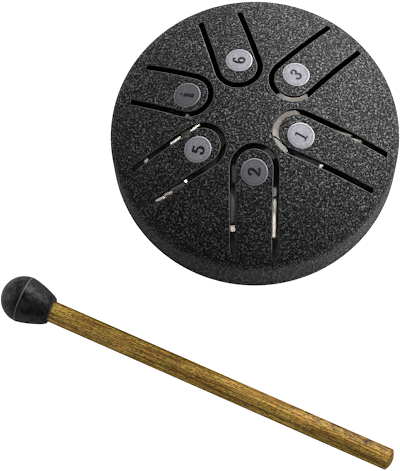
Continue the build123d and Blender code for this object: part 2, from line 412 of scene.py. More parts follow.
def stainedWood(turn, tilt):
    # stained dowel: fibres and broad streaks drawn out along the stick, in coordinates turned to its axis, with short
    # dashes, blotches of tone and tint, and dark smudges where the point attribute says: dirt, and painted shade on the
    # stick's sides and where it leaves the head
    p = woodLook
    look, tree, shader = newLook("stained_dowel_wood")
    level = turnedBack(tree, turnedBack(tree, objectPlace(tree), (0, 0, -turn)), (0, -tilt, 0))
    drawn = drawnOut(tree, level, (p["stretch"], 1.0, 1.0))
    fibre = noise(tree, drawn, 1 / (p["fibre"] * mm))
    streak = noise(tree, drawn, 1 / (p["streak"] * mm), 3.0, 0.55)
    dash = noise(tree, drawnOut(tree, level, (p["dashStretch"], 1.0, 1.0)), 1 / (p["dash"] * mm))
    smudge = noise(tree, drawnOut(tree, level, (p["smudgeStretch"], 1.0, 1.0)), 1 / (p["smudge"] * mm), 3.0, 0.55)
    blotch = noise(tree, level, p["blotchLumps"], 3.0, 0.5)
    tone = mixColours(tree, remap(tree, fibre, *p["fibreRange"]), p["mid"], p["pale"])
    tone = mixColours(tree, remap(tree, streak, *p["streakRange"]), tone, p["brown"])
    tone = mixColours(tree, remap(tree, dash, *p["dashRange"]), tone, p["brown"])
    # dark where the point attribute says: dirt, and painted shade on the sides and at the head
    soiledAndShaded = calculate(tree, "MULTIPLY", wearAndPaintedLightOf(tree), remap(tree, smudge, *p["smudgeRange"]))
    tone = mixColours(tree, soiledAndShaded, tone, p["dark"])
    tint = remap(tree, noise(tree, level, p["tintLumps"]), *p["tintRange"])
    feed(tree, shifted(tree, tone, remap(tree, blotch, *p["blotchRange"]), tint), shader, "Base Color")
    shader.inputs["Specular IOR Level"].default_value = p["gloss"]
    feed(tree, remap(tree, fibre, *p["roughRange"]), shader, "Roughness")
    feed(tree, bump(tree, fibre, p["fibreDepth"]), shader, "Normal")
    return look


paint = texturedPaint()
steel = bareSteel()
foils = {note: stickerFoil(note) for note in notes}
ink = printedInk()
footRubber = mouldedRubber("foot_rubber_black", 0.5)
headRubber = mouldedRubber("head_rubber_black", 0.25)
print("looks made")


drum = {
    "radius": 40.0, "sheet": 1.0, "dome": 76.0, "shoulder": 4.0, "shoulderHeight": 28.0, "seam": 18.0,
    "base": 2.0, "baseRadius": 24.5, "soundHole": 11.0, "holeRound": 0.15, "seamRound": 0.3, "segments": 168,
    # how much paler the rounded slot edges turn: partly rubbed paint, partly painted highlight
    "slot": 1.5, "rootGap": 0.05, "slotRound": 0.25, "slotEnd": 0.6, "roundFade": 1.2, "edgeWearAndHighlight": 0.9, "rows": 9,
}
outlinePoints = {"root": 9, "corner": 13, "side": 30, "end": 25}  # along half of a tongue's or a slot's outline
edgeTurns = np.radians([18, 36, 54, 72, 90])  # steps over a rounded edge
shoulderCentre = drum["radius"] - drum["shoulder"]
lean = math.asin(shoulderCentre / (drum["dome"] - drum["shoulder"]))
domeCentre = drum["shoulderHeight"] - (drum["dome"] - drum["shoulder"]) * math.cos(lean)


def onDome(plan, sphere, drop=0.0):
    # plan points lifted straight up to the sphere of that radius, then lowered
    height = domeCentre + np.sqrt(sphere**2 - (plan**2).sum(-1)) - drop
    return np.concatenate([plan, height[..., None]], -1)


def tongueFacts(note):
    # azimuth and root from the hinge, free end and widths from the CAD node
    joint = next(j for j in frame["joints"] if j["child"] == "tongue_" + note)
    x, y = joint["pos_m"][0] / mm, joint["pos_m"][1] / mm
    axis = np.array([x, y]) / math.hypot(x, y)
    side = np.array([-axis[1], axis[0]])
    plan = nodePoints("tongue_" + note)[:, :2]
    station, across = plan @ axis, plan @ side
    half = np.abs(across).max()
    tip, root = station.min(), station.max()
    return {"axis": axis, "side": side, "angle": math.degrees(math.atan2(y, x)), "root": root,
            "bend": tip + half, "halfTip": half, "halfRoot": np.abs(across[station > root - 0.01]).max()}


tongues = {note: tongueFacts(note) for note in notes}


def halfOutline(facts, grow, root, corner):
    # Half of a tongue-shaped outline from the middle of its root line to the middle of its free end: root line,
    # rounded corner (a curve drawn from its two ends towards the corner), side, quarter circle. Each point comes
    # with its outward direction and the share of edge rounding it gets, none on the root line.
    bend, halfTip, halfRoot = facts["bend"], facts["halfTip"] + grow, facts["halfRoot"] + grow
    slope = (halfTip - halfRoot) / (root - bend)
    before = halfRoot + slope * corner
    rootLine = runBetween((root, 0), (root, halfRoot - corner), outlinePoints["root"])[:-1]
    share = np.linspace(0, 1, outlinePoints["corner"])[:-1, None]
    a, b, c = np.array([root, halfRoot - corner]), np.array([root, halfRoot]), np.array([root - corner, before])
    rounded = (1 - share)**2 * a + 2 * share * (1 - share) * b + share**2 * c
    side = runBetween(c, (bend, halfTip), outlinePoints["side"])[:-1]
    turn = np.radians(np.linspace(90, 180, outlinePoints["end"]))
    end = np.stack([bend + halfTip * np.cos(turn), halfTip * np.sin(turn)], -1)
    points = np.vstack([rootLine, rounded, side, end])
    sideways = np.array([slope, 1.0]) / math.hypot(slope, 1.0)
    out = np.vstack([np.tile([1.0, 0.0], (len(rootLine), 1)),
                     mix(np.array([1.0, 0.0]), sideways, share), np.tile(sideways, (len(side), 1)),
                     np.stack([np.cos(turn), np.sin(turn)], -1)])
    out /= np.linalg.norm(out, axis=1)[:, None]
    away = np.clip((root - points[:, 0]) / drum["roundFade"], 0, 1)
    return points, out, away * away * (3 - 2 * away), len(rootLine) + len(rounded)


def rowShares(count):
    # shares of the way from an edge, 1 to 0, closer together near it
    return np.r_[np.linspace(1, 0.12, count), 0.05, 0.015, 0.0]


def roundedEdge(edge, away, radius):
    # rows that turn over an edge, from a radius away from it on the dome down to the edge itself
    return [onDome(edge + away * (radius * (1 - np.sin(t)))[:, None], drum["dome"], radius * (1 - np.cos(t)))
            for t in edgeTurns]


def besideTongue(facts, grid, mirror):
    # points (along the tongue, across it, height) carried to the drum's axes, mirrored for the other half
    plan = grid[..., :1] * facts["axis"] + mirror * grid[..., 1:2] * facts["side"]
    return np.concatenate([plan, grid[..., 2:]], -1)


def sectorPatches(note, edgeAngle, nearAxis, mirror):
    # One half of a tongue's sector of the top shell. Plan grid blended between the slot's outer edge and the
    # sector's border (rim arc, then the line to the axis), on the dome; then the rounded slot edge, the slot
    # wall and the inner skin; and the shoulder and wall below the rim arc, rounded in at the seam.
    facts = tongues[note]
    root = facts["root"] + drum["rootGap"]
    edge, out, rounding, onRim = halfOutline(facts, drum["slot"], root, drum["slotEnd"])
    count = len(edge)
    radius = drum["slotRound"] * rounding
    straight = int((edge[:, 0] > root - 1e-6).sum())  # points of the root line, which run straight out to the rim
    rimTurn = np.arctan2(edge[:straight, 1], edge[:straight, 0])
    rimTurn = np.r_[rimTurn[:-1], np.linspace(rimTurn[-1], np.radians(edgeAngle), onRim + 2 - straight)]
    onEnd = outlinePoints["end"]

    def border(rim):
        line = np.r_[np.linspace(rim, nearAxis, count - onEnd - onRim + 1)[:-1], np.linspace(nearAxis, 0, onEnd)]
        turn = np.r_[rimTurn[:-1], np.full(count - onRim, np.radians(edgeAngle))]
        reach = np.r_[np.full(onRim, rim), line]
        return np.stack([reach * np.cos(turn), reach * np.sin(turn)], -1)

    outerRim = drum["dome"] * math.sin(lean)
    innerSphere = drum["dome"] - drum["sheet"]
    innerRim = innerSphere * math.sin(lean)
    start = edge + out * radius[:, None]
    top = [onDome(mix(start, border(outerRim), s), drum["dome"]) for s in rowShares(drum["rows"])]
    top += roundedEdge(edge, out, radius)
    wearAndPaintedLight = np.zeros((len(top), count))
    # rounded slot edge made paler: partly rubbed paint, partly painted highlight
    wearAndPaintedLight[-len(edgeTurns):-1] = rounding * drum["edgeWearAndHighlight"]
    wall = [top[-1], onDome(edge, innerSphere)]
    skin = [onDome(mix(edge, border(innerRim), s), innerSphere) for s in np.linspace(0, 1, 8)]

    lip = drum["seamRound"]
    section = np.vstack([
        arcAbout((shoulderCentre, drum["shoulderHeight"]), drum["shoulder"], math.degrees(lean), 90, 12),
        runBetween((drum["radius"], drum["shoulderHeight"]), (drum["radius"], drum["seam"] + lip), 5)[1:-1],
        arcAbout((drum["radius"] - lip, drum["seam"] + lip), lip, 90, 180, 5),
    ])
    inner = np.vstack([
        runBetween((drum["radius"] - drum["sheet"], drum["seam"]),
                   (drum["radius"] - drum["sheet"], drum["shoulderHeight"]), 4)[:-1],
        arcAbout((shoulderCentre, drum["shoulderHeight"]), drum["shoulder"] - drum["sheet"], 90, math.degrees(lean), 8),
    ])

    def swept(line):
        reach, height = line[:, :1], np.broadcast_to(line[:, 1:], (len(line), onRim + 1))
        return np.stack([reach * np.cos(rimTurn), reach * np.sin(rimTurn), height], -1)

    seamFace = np.vstack([section[-1:], inner[:1]])
    grids = [(top, wearAndPaintedLight), (wall, None), (skin, None)]
    grids += [(swept(line), None) for line in (section, seamFace, inner)]
    return [(besideTongue(facts, np.array(grid), mirror), 0, None, wornAndLit) for grid, wornAndLit in grids]


def slotSide(note):
    # angle from a tongue's middle line to the line from the drum's axis that touches its slot
    return math.degrees(math.asin((tongues[note]["halfTip"] + drum["slot"]) / tongues[note]["bend"]))


def bendAlong(note, angle):
    # how far out along a line at that angle the round end of the slot starts
    turn = math.radians(angle)
    return tongues[note]["bend"] * math.cos(turn) + (tongues[note]["halfTip"] + drum["slot"]) * math.sin(turn)


def buildTopShell():
    # two half sectors from each tongue to the next, all the way round
    ordered = sorted(notes, key=lambda note: tongues[note]["angle"] % 360)
    patches = []
    for i, note in enumerate(ordered):
        following = ordered[(i + 1) % len(ordered)]
        apart = (tongues[following]["angle"] - tongues[note]["angle"]) % 360
        own = (apart + slotSide(note) - slotSide(following)) / 2  # the border runs midway between the two slots
        nearAxis = (bendAlong(note, own) + bendAlong(following, apart - own)) / 2
        patches += sectorPatches(note, own, nearAxis, 1)
        patches += sectorPatches(following, apart - own, nearAxis, -1)
    makePiece("top_shell_pressing", "drum", patches, [paint], ["top_shell"])


def buildBottomShell():
    # bowl turned about the drum's axis: wall, large corner, flat base, rounded sound hole and the inner skin back up
    r, s, base = drum["radius"], drum["sheet"], drum["base"]
    corner = r - drum["baseRadius"]
    cornerCentre = (drum["baseRadius"], base + corner)
    hole, lip, seamLip = drum["soundHole"], drum["holeRound"], drum["seamRound"]
    outside = np.vstack([
        arcAbout((r - seamLip, drum["seam"] - seamLip), seamLip, 0, 90, 5)[:-1],
        runBetween((r, drum["seam"] - seamLip), (r, base + corner), 3)[:-1],
        arcAbout(cornerCentre, corner, 90, 180, 26),
        runBetween((drum["baseRadius"], base), (hole + lip, base), 8)[1:-1],
        arcAbout((hole + lip, base + lip), lip, 180, 270, 6),
    ])
    inside = np.vstack([
        arcAbout((hole + lip, base + s - lip), lip, 270, 360, 6),
        runBetween((hole + lip, base + s), (drum["baseRadius"], base + s), 8)[1:-1],
        arcAbout(cornerCentre, corner - s, 180, 90, 22),
        runBetween((r - s, base + corner), (r - s, drum["seam"]), 3)[1:],
    ])
    rim = np.vstack([inside[-1:], outside[:1]])
    hollow = np.vstack([outside[-1:], inside[:1]])
    patches = []
    for line, number in ((outside, 0), (hollow, 0), (inside, 1), (rim, 0)):
        grid, uv = turnedGrid(line[:, ::-1], (0, 0, 0), (0, 0, 1), (1, 0, 0), drum["segments"])
        patches.append((grid, number, uv, None))
    makePiece("bottom_shell_bowl", "drum", patches, [paint, steel], ["bottom_shell"])


buildTopShell()
buildBottomShell()
print("shells made")


tongueShape = {"round": 0.25, "rootReach": 0.025, "rootCorner": 0.05, "rows": 8}


def buildTongue(note):
    # Strip of the dome inside its slot: rows from the middle line out to the edge, round over it, down the cut
    # wall and back underneath, for the two halves of the outline; the root end is closed flat.
    facts, shape = tongues[note], tongueShape
    root = facts["root"] + shape["rootReach"]
    outline, _, rounding, onRim = halfOutline(facts, 0.0, root, shape["rootCorner"])
    edge, rounding = np.vstack([[root, facts["halfRoot"]], outline[onRim:]]), np.r_[0.0, rounding[onRim:]]
    middle = np.stack([np.maximum(edge[:, 0], facts["bend"]), np.zeros(len(edge))], -1)
    inward = (middle - edge) / np.linalg.norm(middle - edge, axis=1)[:, None]
    radius = shape["round"] * rounding
    start = edge + inward * radius[:, None]
    top = [onDome(mix(start, middle, s), drum["dome"]) for s in rowShares(shape["rows"])]
    top = np.array(top + roundedEdge(edge, inward, radius))
    wearAndPaintedLight = np.zeros(top.shape[:2])
    # rounded tongue edge made paler: partly rubbed paint, partly painted highlight
    wearAndPaintedLight[-len(edgeTurns):-1] = rounding * drum["edgeWearAndHighlight"]
    innerSphere = drum["dome"] - drum["sheet"]
    under = np.array([onDome(mix(edge, middle, s), innerSphere) for s in np.linspace(0, 1, len(top))])
    wall = np.array([top[-1], under[0]])
    cap = np.array([top[:, 0], under[::-1, 0]])
    patches = [(besideTongue(facts, grid, mirror), 0, None, wornAndLit) for mirror in (1, -1)
               for grid, wornAndLit in ((top, wearAndPaintedLight), (wall, None), (under, None), (cap, None))]
    makePiece("tongue_" + note + "_sheet", "tongue_" + note, patches, [paint], ["tongue_" + note])


for note in notes:
    buildTongue(note)
print("tongues made")


sticker = {"thickness": 0.12, "bevel": 0.3, "segments": 72, "rows": 9, "rimHighlight": 0.8}
numerals = {
    "height": 3.3, "relief": 0.018, "sink": 0.01, "thin": 0.11, "thick": 0.175, "middle": (0.31, 0.5),
    "dotTop": 0.022, "dotBottom": 0.002, "dotSegments": 20, "pathPoints": 12,
    "figure": {"do": "1", "re": "2", "mi": "3", "sol": "5", "la": "6", "high_do": "1"},
    "upward": {"do": 152.0, "re": 171.0, "mi": 131.0, "sol": 158.0, "la": 175.0, "high_do": 163.0},
    "lower": {"sol": 0.15, "high_do": 0.4},  # how far below the sticker's middle
    "weight": {"do": 0.88, "re": 1.4, "mi": 1.2, "sol": 1.3, "la": 1.1, "high_do": 2.1},
    "scale": {"high_do": 0.79},  # smaller, to leave room for the octave dot
}

# pen strokes of each figure, one unit high: points on the pen's path
strokes = {
    "1": [[(0.07, 0.87), (0.19, 0.90), (0.31, 0.98)], [(0.31, 0.98), (0.31, 0.5), (0.31, 0.02)],
          [(0.06, 0.02), (0.31, 0.02), (0.56, 0.02)]],
    "2": [[(0.06, 0.72), (0.12, 0.88), (0.29, 0.97), (0.45, 0.91), (0.51, 0.74), (0.44, 0.54), (0.27, 0.30),
           (0.06, 0.06)],
          [(0.04, 0.06), (0.30, 0.06), (0.56, 0.06)], [(0.56, 0.05), (0.59, 0.12), (0.61, 0.22)]],
    "3": [[(0.08, 0.73), (0.13, 0.89), (0.29, 0.97), (0.43, 0.90), (0.47, 0.75), (0.39, 0.60), (0.25, 0.53)],
          [(0.25, 0.53), (0.42, 0.50), (0.54, 0.36), (0.52, 0.17), (0.39, 0.04), (0.21, 0.03), (0.08, 0.20)]],
    "5": [[(0.07, 0.94), (0.30, 0.93), (0.52, 0.96)], [(0.08, 0.94), (0.08, 0.74), (0.08, 0.52)],
          [(0.08, 0.52), (0.22, 0.60), (0.40, 0.57), (0.53, 0.43), (0.53, 0.22), (0.42, 0.06), (0.24, 0.02),
           (0.10, 0.09), (0.08, 0.22)]],
    "6": [[(0.48, 0.84), (0.44, 0.94), (0.31, 0.97), (0.17, 0.84), (0.09, 0.60), (0.07, 0.34), (0.15, 0.11),
           (0.30, 0.02), (0.46, 0.09), (0.53, 0.28), (0.47, 0.48), (0.33, 0.55), (0.18, 0.48), (0.08, 0.33)]],
}
dots = {"2": [(0.09, 0.73, 0.075)], "3": [(0.095, 0.735, 0.07), (0.095, 0.205, 0.07)], "5": [(0.10, 0.22, 0.07)],
        "6": [(0.46, 0.84, 0.065)], "1": []}
octaveDot = (0.31, 1.30, 0.13)


def smoothPath(points, count):
    # smooth curve through the points: each span is a cubic, with its slopes from the neighbouring points
    p = np.asarray(points, float)
    p = np.vstack([2 * p[0] - p[1], p, 2 * p[-1] - p[-2]])
    place = np.linspace(0, len(p) - 3 - 1e-9, count)
    span = place.astype(int)
    t = (place - span)[:, None]
    a, b, c, d = p[span], p[span + 1], p[span + 2], p[span + 3]
    return 0.5 * (2 * b + (c - a) * t + (2 * a - 5 * b + 4 * c - d) * t**2 + (3 * b - a - 3 * c + d) * t**3)


def stickerFacts(note):
    # centre and radius of the CAD sticker in plan
    low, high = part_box("sticker_" + note)
    low, high = np.array(low)[:2] / mm, np.array(high)[:2] / mm
    return (low + high) / 2, (high - low).mean() / 2


def figureAxes(note):
    # upright and rightward directions of a sticker's figure in plan
    up = np.radians(numerals["upward"][note])
    upright = np.array([np.cos(up), np.sin(up)])
    return upright, np.array([upright[1], -upright[0]])


def discRings(centre, radii, lifts, segments):
    # circles about a plan point, each raised that far off the dome
    turn = np.linspace(0, 2 * np.pi, segments + 1)
    ring = np.stack([np.cos(turn), np.sin(turn)], -1)
    rows = [onDome(centre + r * ring, drum["dome"] + h) for r, h in zip(radii, lifts)]
    flat = np.asarray(radii)[:, None, None] * ring[None]
    return np.array(rows), flat


def buildSticker(note):
    # flat disc with a bevelled rim, laid on the dome; uv is the plan place turned to the figure's upright
    centre, radius = stickerFacts(note)
    t, b, rows = sticker["thickness"], sticker["bevel"], sticker["rows"]
    bevel = [radius - 0.6 * b, radius - 0.22 * b, radius]
    radii = np.r_[np.linspace(0, radius - b, rows), bevel, radius, np.linspace(radius, 0, 6)]
    lifts = np.r_[np.full(rows, t), 0.93 * t, 0.7 * t, 0.35 * t, np.zeros(7)]
    grid, flat = discRings(centre, radii, lifts, sticker["segments"])
    upright, right = figureAxes(note)
    uv = np.stack([flat @ right, flat @ upright], -1)
    wearAndPaintedLight = np.zeros(grid.shape[:2])
    # the bevel's rim rows get a painted highlight
    wearAndPaintedLight[rows:rows + 2] = sticker["rimHighlight"]
    makePiece("sticker_" + note + "_foil", "tongue_" + note, [(grid, 0, uv, wearAndPaintedLight)], [foils[note]], ["sticker_" + note])


def buildNumeral(note):
    # each pen stroke is a flat ribbon: path offset both ways by half the pen's width, wide where the path runs
    # upright and narrow where it runs level; dots are small discs
    n = numerals
    centre, _ = stickerFacts(note)
    figure, height = n["figure"][note], n["height"] * n["scale"].get(note, 1.0)
    upright, right = figureAxes(note)
    origin = centre - upright * n["lower"].get(note, 0.0)
    base = drum["dome"] + sticker["thickness"]

    def toPlan(flat):
        across, along = flat[..., :1] - n["middle"][0], flat[..., 1:] - n["middle"][1]
        return origin + across * height * right + along * height * upright

    patches = []
    for i, points in enumerate(strokes[figure]):
        path = smoothPath(points, n["pathPoints"] * len(points))
        along = np.gradient(path, axis=0)
        along /= np.linalg.norm(along, axis=1)[:, None]
        across = np.stack([-along[:, 1], along[:, 0]], -1)
        width = n["weight"][note] * mix(n["thin"], n["thick"], np.abs(along[:, 1:])**1.5) / 2
        left, other = toPlan(path + across * width), toPlan(path - across * width)
        top, low = base + n["relief"] + 0.001 * i, base - n["sink"]  # each stroke a hair above the last
        loop = [onDome(left, low), onDome(left, top), onDome(other, top), onDome(other, low), onDome(left, low)]
        patches.append((np.array(loop), 0, None, None))
        for end in (0, -1):
            cap = np.array([[loop[0][end], loop[1][end]], [loop[3][end], loop[2][end]]])
            patches.append((cap, 0, None, None))
    for x, y, r in dots[figure] + ([octaveDot] if note == "high_do" else []):
        radii = np.array([0, 0.6, 1, 1, 0]) * r * height
        lifts = sticker["thickness"] + np.array([n["dotTop"]] * 3 + [n["dotBottom"]] * 2)
        grid, _ = discRings(toPlan(np.array([x, y])), radii, lifts, n["dotSegments"])
        patches.append((grid, 0, None, None))
    makePiece("numeral_" + note + "_print", "tongue_" + note, patches, [ink])


for note in notes:
    buildSticker(note)
    buildNumeral(note)
print("stickers and numerals made")


foot = {"round": 0.6, "topRound": 0.15, "segments": 56}


def buildFoot(place):
    # rubber disc turned about its own upright axis: flat underside, rounded lower edge, straight side
    low, high = (np.array(v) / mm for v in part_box("foot_" + place))
    x, y = (low[:2] + high[:2]) / 2
    radius, height = (high[0] - low[0]) / 2, high[2]
    r, q = foot["round"], foot["topRound"]
    line = np.vstack([
        runBetween((0, 0), (radius - r, 0), 7)[:-1], arcAbout((radius - r, r), r, 180, 90, 7),
        runBetween((radius, r), (radius, height - q), 4)[1:-1], arcAbout((radius - q, height - q), q, 90, 0, 4),
        runBetween((radius - q, height), (0, height), 5)[1:],
    ])
    grid, uv = turnedGrid(line[:, ::-1], (x, y, 0), (0, 0, 1), (1, 0, 0), foot["segments"])
    makePiece("foot_" + place + "_pad", "drum", [(grid, 0, uv, None)], [footRubber], ["foot_" + place])


for place in ("front_right", "rear_right", "rear_left", "front_left"):
    buildFoot(place)
print("feet made")


mallet = {
    "ball": 6.65, "neck": 8.45, "neckEase": 0.64, "mouth": 3.93, "lip": 0.3, "socket": 3.08, "flare": 0.35,
    "ridge": 0.07, "ridgeWidth": 0.5, "ridgeRows": 17, "ridgeWear": 0.8, "headSegments": 112,
    "stick": 3.03, "length": 112.3, "insert": 8.5, "endBulge": 1.0, "endCorner": 0.4, "stickSegments": 72,
    "turn": -23.7, "buttRound": 2.0,
}
# the mallet lies on its ball and on its stick, where the solid's rounded butt begins
restStation = mallet["neck"] - mallet["insert"] + mallet["length"] - mallet["buttRound"]
malletTilt = (math.asin(mallet["ball"] / math.hypot(restStation, mallet["stick"]))
              - math.atan2(mallet["stick"], restStation))
malletTurn = math.radians(mallet["turn"])
malletAxis = np.array([math.cos(malletTurn) * math.cos(malletTilt), math.sin(malletTurn) * math.cos(malletTilt),
                       -math.sin(malletTilt)])
malletUp = np.array([math.cos(malletTurn) * math.sin(malletTilt), math.sin(malletTurn) * math.sin(malletTilt),
                     math.cos(malletTilt)])
headLow, headHigh = (np.array(v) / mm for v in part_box("mallet_head"))
headCentre = np.array([headLow[0] + mallet["ball"], headHigh[1] - mallet["ball"], mallet["ball"]])
wood = stainedWood(malletTurn, malletTilt)


def buildHead():
    # Ball, a low parting ridge round its middle, a full neck, a lip at the mouth and the socket, as one line of
    # (along, out) points turned about the mallet's axis. The neck is an arc that touches the ball at neckAngle
    # and runs through the mouth.
    m = mallet
    ball = m["ball"] - m["ridge"]
    coneAngle = math.atan2(m["neck"], m["mouth"]) - math.acos(ball / math.hypot(m["neck"], m["mouth"]))
    neckAngle = m["neckEase"] * coneAngle
    body = arcAbout((0.0, 0.0), ball, -90, math.degrees(neckAngle), 60)
    rear = body[body[:, 0] < -m["ridgeWidth"] * 1.05]
    front = body[body[:, 0] > m["ridgeWidth"] * 1.05]
    along = np.linspace(-m["ridgeWidth"], m["ridgeWidth"], m["ridgeRows"])
    swell = m["ridge"] * np.clip(1 - (along / (m["ridgeWidth"] / 2))**2, 0, 1)
    ridge = np.stack([along, np.sqrt(ball**2 - along**2) + swell], -1)
    facing = m["neck"] * math.sin(neckAngle) + m["mouth"] * math.cos(neckAngle)
    across = (m["neck"] - ball * math.sin(neckAngle), m["mouth"] - ball * math.cos(neckAngle))
    neckRadius = math.hypot(*across)**2 / (2 * (ball - facing))
    centre = np.array([math.sin(neckAngle), math.cos(neckAngle)]) * (ball - neckRadius)
    mouthAngle = math.atan2(m["neck"] - m["lip"] - centre[0], m["mouth"] - centre[1])
    cone = arcAbout(centre, neckRadius, math.degrees(neckAngle), math.degrees(mouthAngle), 16)[1:-1]
    lip = arcAbout((m["neck"] - m["lip"], m["mouth"] - m["lip"]), m["lip"], 0, 90, 4)
    flareEnd, socketEnd = (m["neck"] - 2 * m["flare"], m["socket"]), (m["neck"] - m["insert"], m["socket"])
    inside = np.vstack([runBetween((m["neck"], m["socket"] + m["flare"]), flareEnd, 3),
                        runBetween(flareEnd, socketEnd, 6)[1:], [(socketEnd[0], 0.0)]])
    line = np.vstack([rear, ridge, front, cone, lip, inside])
    line[0, 1] = 0.0
    grid, uv = turnedGrid(line, headCentre, malletAxis, malletUp, m["headSegments"])
    wearAndPaintedLight = np.zeros(grid.shape[:2])
    crest = len(rear) + m["ridgeRows"] // 2
    wearAndPaintedLight[crest - 2:crest + 3] = m["ridgeWear"]
    return makePiece("mallet_head_ball", "mallet", [(grid, 0, uv, wearAndPaintedLight)], [headRubber], ["mallet_head"])


# how dark each darkened place of the stick is, and where: along it in millimetres, across it in shares of its radius;
# the sides and the ring where it leaves the head are painted shade, the band along the front is simply darker, and
# the grip, scuff and end grain are the wood's own darker marks
soilAndShade = {
    "shadedSides": 0.6, "shadedSidesAcross": (0.8, 1.0), "neck": 0.85, "neckShadowWidth": 0.5,
    "band": 0.22, "bandMiddle": -0.42, "bandWidth": 0.22, "bandAlong": (40, 80),
    "grip": 0.62, "gripAlong": (70, 95), "gripAcross": (0.2, 0.6),
    "scuff": 0.6, "scuffMiddle": 103.6, "scuffWidth": 0.35, "scuffAcross": (0.1, 0.6), "endGrain": 0.7, "endDepth": 0.5,
}


def rise(value, low, high):
    # 0 below low, 1 above high, straight between
    return np.clip((value - low) / (high - low), 0, 1)


def hump(value, middle, width):
    # bell curve, 1 at the middle
    return np.exp(-((value - middle) / width)**2)


def buildStick():
    # Dowel turned about the mallet's axis, with a domed end: the dome is part of a sphere, and a small arc that
    # touches the dome and the side rounds the corner between them. The point attribute darkens its two sides, painted
    # shade along the edges seen from the camera; a band along the front; the grip towards the butt, a scuff ring and
    # the end grain, which are the wood's own marks; and a ring where it leaves the head, a painted shadow.
    m = mallet
    start = m["neck"] - m["insert"]
    butt = start + m["length"]
    dome, r = (m["stick"]**2 + m["endBulge"]**2) / (2 * m["endBulge"]), m["endCorner"]
    toCorner = math.sqrt((dome - r)**2 - (m["stick"] - r)**2)
    corner, meet = butt - dome + toCorner, math.degrees(math.atan2(toCorner, m["stick"] - r))
    line = np.vstack([[(start, 0.0)], runBetween((start, m["stick"]), (corner, m["stick"]), 320),
                      arcAbout((corner, m["stick"] - r), r, 0, meet, 6)[1:],
                      arcAbout((butt - dome, 0.0), dome, meet, 90, 12)[1:]])
    line[-1, 1] = 0.0
    grid, uv = turnedGrid(line, headCentre, malletAxis, malletUp, m["stickSegments"])
    level = np.array([-math.sin(malletTurn), math.cos(malletTurn), 0.0])
    rearward = 0.94 * level + 0.33 * malletUp  # across the stick, leaning so that the painted shade on its sides lies along the edges seen from the camera
    across = np.broadcast_to((grid - headCentre) @ rearward / m["stick"], grid.shape[:2])
    along = np.broadcast_to(line[:, :1], grid.shape[:2])
    # the two sides darker: painted shade at the edges seen from the camera
    shadedSides = soilAndShade["shadedSides"] * rise(np.abs(across), *soilAndShade["shadedSidesAcross"])
    band = soilAndShade["band"] * hump(across, soilAndShade["bandMiddle"], soilAndShade["bandWidth"]) * rise(along, *soilAndShade["bandAlong"])
    grip = soilAndShade["grip"] * rise(along, *soilAndShade["gripAlong"]) * rise(across, *soilAndShade["gripAcross"])
    scuff = soilAndShade["scuff"] * hump(along, soilAndShade["scuffMiddle"], soilAndShade["scuffWidth"]) * rise(across, *soilAndShade["scuffAcross"])
    # ring where the stick leaves the head: painted shadow
    neck = soilAndShade["neck"] * hump(along, m["neck"], soilAndShade["neckShadowWidth"])
    endGrain = soilAndShade["endGrain"] * rise(along, corner, corner + soilAndShade["endDepth"])
    wearAndPaintedLight = np.clip(shadedSides + band + grip + scuff + neck + endGrain, 0, 1)
    return makePiece("mallet_stick_dowel", "mallet", [(grid, 0, uv, wearAndPaintedLight)], [wood], ["mallet_stick"])


head, stick = buildHead(), buildStick()
print("mallet made")


view = {"place": (-1.41, -196.58, 519.23), "heading": -4.623, "pitch": 71.183, "roll": -4.334, "focalPixels": 1904.1,
        "imageHeight": 471, "sensor": 36.0, "clip": (0.01, 20.0)}

studio = {
    "floor": (0.80, 0.80, 0.795, 1), "floorSeen": (0.09, 0.09, 0.09, 1), "floorShade": (0.12, 0.12, 0.12, 1),
    "floorGlow": 1.0, "floorBounce": 0.12, "floorRough": 0.7, "floorGloss": 0.2, "floorSize": 3.0, "aim": (0, 0, 0.03),
    "shadeFrom": 18.0, "shadeTo": 26.0, "sky": 0.03, "backdrop": 1.0, "sharpen": 0.08,
    "lamps": {
        "softbox": {"place": (0.45, 0.60, 0.50), "size": 0.70, "power": 11.2},
        "side": {"place": (0.75, 0.15, 0.30), "size": 0.45, "power": 1.3},
        "fill": {"place": (-0.62, 0.30, 0.45), "size": 0.5, "power": 0.52},
    },
    "stickLamp": {"place": (-0.35, -0.40, 0.30), "size": 0.3, "power": 0.6},
    "headLamp": {"place": (-0.60, 0.02, 0.14), "size": 0.35, "power": 1.0},
}

